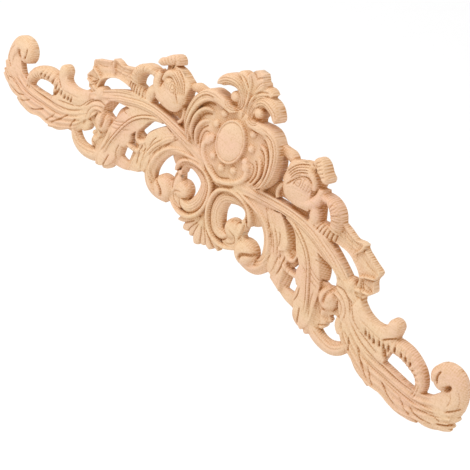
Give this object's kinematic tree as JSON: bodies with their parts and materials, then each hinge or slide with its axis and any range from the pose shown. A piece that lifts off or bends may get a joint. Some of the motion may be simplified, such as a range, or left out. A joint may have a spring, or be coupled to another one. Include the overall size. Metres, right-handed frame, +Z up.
{
  "type": "carved wood applique",
  "caption": "Pierced, carved wooden ornament with a flat back: an oval boss in a scrolled cartouche, with mirrored sprays of acanthus leaves, a flower and ruffled ribbon ending in volutes.",
  "frame": {"origin": "on the flat back, behind the centre of the oval boss", "axes": "+X along the length, to the right as seen from the front; +Z up; the carved face looks towards -Y and the flat back lies in the plane Y = 0"},
  "size_m": [0.5997, 0.0172, 0.1861],
  "materials": {
    "raw_wood": "unfinished, fine tool marks"
  },
  "bodies": {
    "root": {"carved_applique": "raw_wood"}
  },
  "joints": []
}
